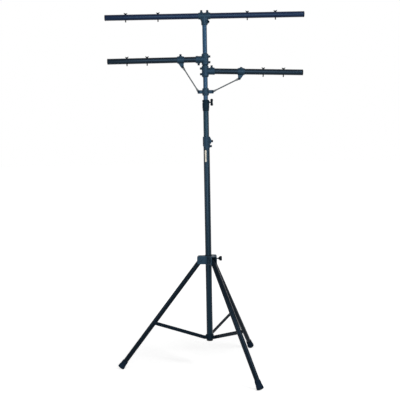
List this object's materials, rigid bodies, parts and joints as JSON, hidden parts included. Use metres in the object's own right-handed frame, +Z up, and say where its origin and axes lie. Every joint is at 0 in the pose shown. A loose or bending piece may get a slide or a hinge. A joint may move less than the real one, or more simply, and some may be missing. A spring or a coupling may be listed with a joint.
{
  "type": "light stand",
  "caption": "Folding tripod light stand with a telescopic mast, a T-bar across its top and two strutted side arms, each drilled for wing screws that fasten stage lamps.",
  "frame": {"origin": "on the floor, on the mast's axis, with the legs spread", "axes": "+X along the T-bar towards the lower side arm, +Z up the mast"},
  "size_m": [1.2006, 0.9944, 2.1854],
  "materials": {
    "painted_steel_tube": "dark blue-grey powder coat, satin",
    "painted_casting": "die casting with a dark blue-grey coat",
    "black_steel": "black coated steel, satin",
    "black_plastic": "black moulded plastic, fine grain",
    "black_rubber": "matt black rubber",
    "zinc_plated_steel": "zinc plated",
    "strut_steel": "dark grey plated steel, satin"
  },
  "bodies": {
    "mast_base": {"base_tube": "painted_steel_tube", "bottom_cap": "black_plastic", "bottom_hub": "painted_casting", "brace_hub_rivet_left": "black_steel", "brace_hub_rivet_front": "black_steel", "brace_hub_rivet_back": "black_steel", "lower_collar": "painted_casting", "lower_collar_bolt": "black_steel"},
    "leg_carrier": {"leg_hub": "painted_casting", "leg_hub_liner": "black_plastic", "leg_pivot_bolt_left": "black_steel", "leg_pivot_bolt_front": "black_steel", "leg_pivot_bolt_back": "black_steel"},
    "leg_carrier_knob": {"leg_hub_knob": "black_plastic"},
    "left_leg": {"leg_left": "painted_steel_tube", "foot_left": "black_rubber"},
    "front_leg": {"leg_front": "painted_steel_tube", "foot_front": "black_rubber"},
    "back_leg": {"leg_back": "painted_steel_tube", "foot_back": "black_rubber"},
    "left_brace": {"brace_left": "black_steel"},
    "front_brace": {"brace_front": "black_steel"},
    "back_brace": {"brace_back": "black_steel"},
    "collar_knob": {"lower_collar_knob": "black_plastic"},
    "middle_mast": {"middle_tube": "painted_steel_tube", "middle_tube_guide": "black_plastic", "upper_collar": "black_plastic"},
    "collar_handle": {"upper_collar_handle": "black_plastic"},
    "top_mast": {"top_tube": "painted_steel_tube", "top_tube_guide": "black_plastic"},
    "t_bar": {"tee_adapter": "painted_casting", "tee_bolt_left": "black_steel", "tee_bolt_right": "black_steel", "tee_bolt_post": "black_steel", "t_bar_left": "painted_steel_tube", "t_bar_right": "painted_steel_tube", "t_bar_cap_left": "black_plastic", "t_bar_cap_right": "black_plastic"},
    "side_arms": {"side_adapter_left": "painted_casting", "side_adapter_right": "painted_casting", "side_arm_left": "painted_steel_tube", "side_arm_right": "painted_steel_tube", "side_arm_cap_left": "black_plastic", "side_arm_cap_right": "black_plastic", "strut_clamp_left": "painted_casting", "strut_clamp_right": "painted_casting", "strut_clamp_screw_left": "black_steel", "strut_clamp_screw_right": "black_steel", "strut_left": "strut_steel", "strut_right": "strut_steel", "strut_ring": "painted_casting", "strut_ring_bolt": "black_steel"},
    "wing_screw_bar_1": {"bar_screw_1": "zinc_plated_steel"},
    "wing_screw_bar_2": {"bar_screw_2": "zinc_plated_steel"},
    "wing_screw_bar_3": {"bar_screw_3": "zinc_plated_steel"},
    "wing_screw_bar_4": {"bar_screw_4": "zinc_plated_steel"},
    "wing_screw_left_1": {"left_arm_screw_1": "zinc_plated_steel"},
    "wing_screw_left_2": {"left_arm_screw_2": "zinc_plated_steel"},
    "wing_screw_right_1": {"right_arm_screw_1": "zinc_plated_steel"},
    "wing_screw_right_2": {"right_arm_screw_2": "zinc_plated_steel"}
  },
  "joints": [
    {"name": "leg_hub_slide", "type": "slide", "parent": "mast_base", "child": "leg_carrier", "axis": [0, 0, 1], "range_m": [0, 0.328]},
    {"name": "leg_hub_knob_turn", "type": "hinge", "parent": "leg_carrier", "child": "leg_carrier_knob", "pos_m": [0.066, 0, 0.68246], "axis": [1, 0, 0], "range_deg": [0, 540]},
    {"name": "leg_left_fold", "type": "hinge", "parent": "leg_carrier", "child": "left_leg", "pos_m": [-0.04772, 0, 0.67446], "axis": [0, -1, 0], "range_deg": [0, 36.4]},
    {"name": "leg_front_fold", "type": "hinge", "parent": "leg_carrier", "child": "front_leg", "pos_m": [0.02386, -0.04133, 0.67446], "axis": [0.866, 0.5, 0], "range_deg": [0, 36.4]},
    {"name": "leg_back_fold", "type": "hinge", "parent": "leg_carrier", "child": "back_leg", "pos_m": [0.02386, 0.04133, 0.67446], "axis": [-0.866, 0.5, 0], "range_deg": [0, 36.4]},
    {"name": "brace_left_fold", "type": "hinge", "parent": "mast_base", "child": "left_brace", "pos_m": [-0.02988, -0.0168, 0.197], "axis": [0, 1, 0], "range_deg": [0, 68.43]},
    {"name": "brace_front_fold", "type": "hinge", "parent": "mast_base", "child": "front_brace", "pos_m": [0.02949, -0.01748, 0.197], "axis": [-0.866, -0.5, 0], "range_deg": [0, 68.43]},
    {"name": "brace_back_fold", "type": "hinge", "parent": "mast_base", "child": "back_brace", "pos_m": [0.00039, 0.03428, 0.197], "axis": [0.866, -0.5, 0], "range_deg": [0, 68.43]},
    {"name": "lower_collar_knob_turn", "type": "hinge", "parent": "mast_base", "child": "collar_knob", "pos_m": [0.031, 0, 1.4005], "axis": [1, 0, 0], "range_deg": [0, 540]},
    {"name": "middle_tube_slide", "type": "slide", "parent": "mast_base", "child": "middle_mast", "axis": [0, 0, 1], "range_m": [-0.15, 0.72]},
    {"name": "upper_collar_handle_turn", "type": "hinge", "parent": "middle_mast", "child": "collar_handle", "pos_m": [0.034, 0, 1.635], "axis": [1, 0, 0], "range_deg": [0, 540]},
    {"name": "top_tube_slide", "type": "slide", "parent": "middle_mast", "child": "top_mast", "axis": [0, 0, 1], "range_m": [-0.025, 0.42]},
    {"name": "t_bar_swivel", "type": "hinge", "parent": "top_mast", "child": "t_bar", "pos_m": [0, 0, 2.1511], "axis": [0, 0, 1], "range_deg": [-180, 180]},
    {"name": "side_arms_swivel", "type": "hinge", "parent": "top_mast", "child": "side_arms", "pos_m": [0, 0, 1.8926], "axis": [0, 0, 1], "range_deg": [-180, 180]},
    {"name": "bar_screw_1_turn", "type": "hinge", "parent": "t_bar", "child": "wing_screw_bar_1", "pos_m": [-0.474, 0, 2.1689], "axis": [0, 0, 1], "range_deg": [0, 540]},
    {"name": "bar_screw_2_turn", "type": "hinge", "parent": "t_bar", "child": "wing_screw_bar_2", "pos_m": [-0.279, 0, 2.1689], "axis": [0, 0, 1], "range_deg": [0, 540]},
    {"name": "bar_screw_3_turn", "type": "hinge", "parent": "t_bar", "child": "wing_screw_bar_3", "pos_m": [0.258, 0, 2.1689], "axis": [0, 0, 1], "range_deg": [0, 540]},
    {"name": "bar_screw_4_turn", "type": "hinge", "parent": "t_bar", "child": "wing_screw_bar_4", "pos_m": [0.427, 0, 2.1689], "axis": [0, 0, 1], "range_deg": [0, 540]},
    {"name": "left_arm_screw_1_turn", "type": "hinge", "parent": "side_arms", "child": "wing_screw_left_1", "pos_m": [-0.35009, 0, 1.90877], "axis": [-0.0052, 0, 1], "range_deg": [0, 540]},
    {"name": "left_arm_screw_2_turn", "type": "hinge", "parent": "side_arms", "child": "wing_screw_left_2", "pos_m": [-0.47209, 0, 1.90813], "axis": [-0.0052, 0, 1], "range_deg": [0, 540]},
    {"name": "right_arm_screw_1_turn", "type": "hinge", "parent": "side_arms", "child": "wing_screw_right_1", "pos_m": [0.35041, 0, 1.82939], "axis": [0.0314, 0, 0.9995], "range_deg": [0, 540]},
    {"name": "right_arm_screw_2_turn", "type": "hinge", "parent": "side_arms", "child": "wing_screw_right_2", "pos_m": [0.47235, 0, 1.82556], "axis": [0.0314, 0, 0.9995], "range_deg": [0, 540]}
  ],
  "couplings": [
    {"joint": "leg_left_fold", "follows": "leg_hub_slide", "rad_per_m": 1.9365},
    {"joint": "leg_front_fold", "follows": "leg_hub_slide", "rad_per_m": 1.9365},
    {"joint": "leg_back_fold", "follows": "leg_hub_slide", "rad_per_m": 1.9365},
    {"joint": "brace_left_fold", "follows": "leg_hub_slide", "rad_per_m": 3.6405},
    {"joint": "brace_front_fold", "follows": "leg_hub_slide", "rad_per_m": 3.6405},
    {"joint": "brace_back_fold", "follows": "leg_hub_slide", "rad_per_m": 3.6405}
  ]
}
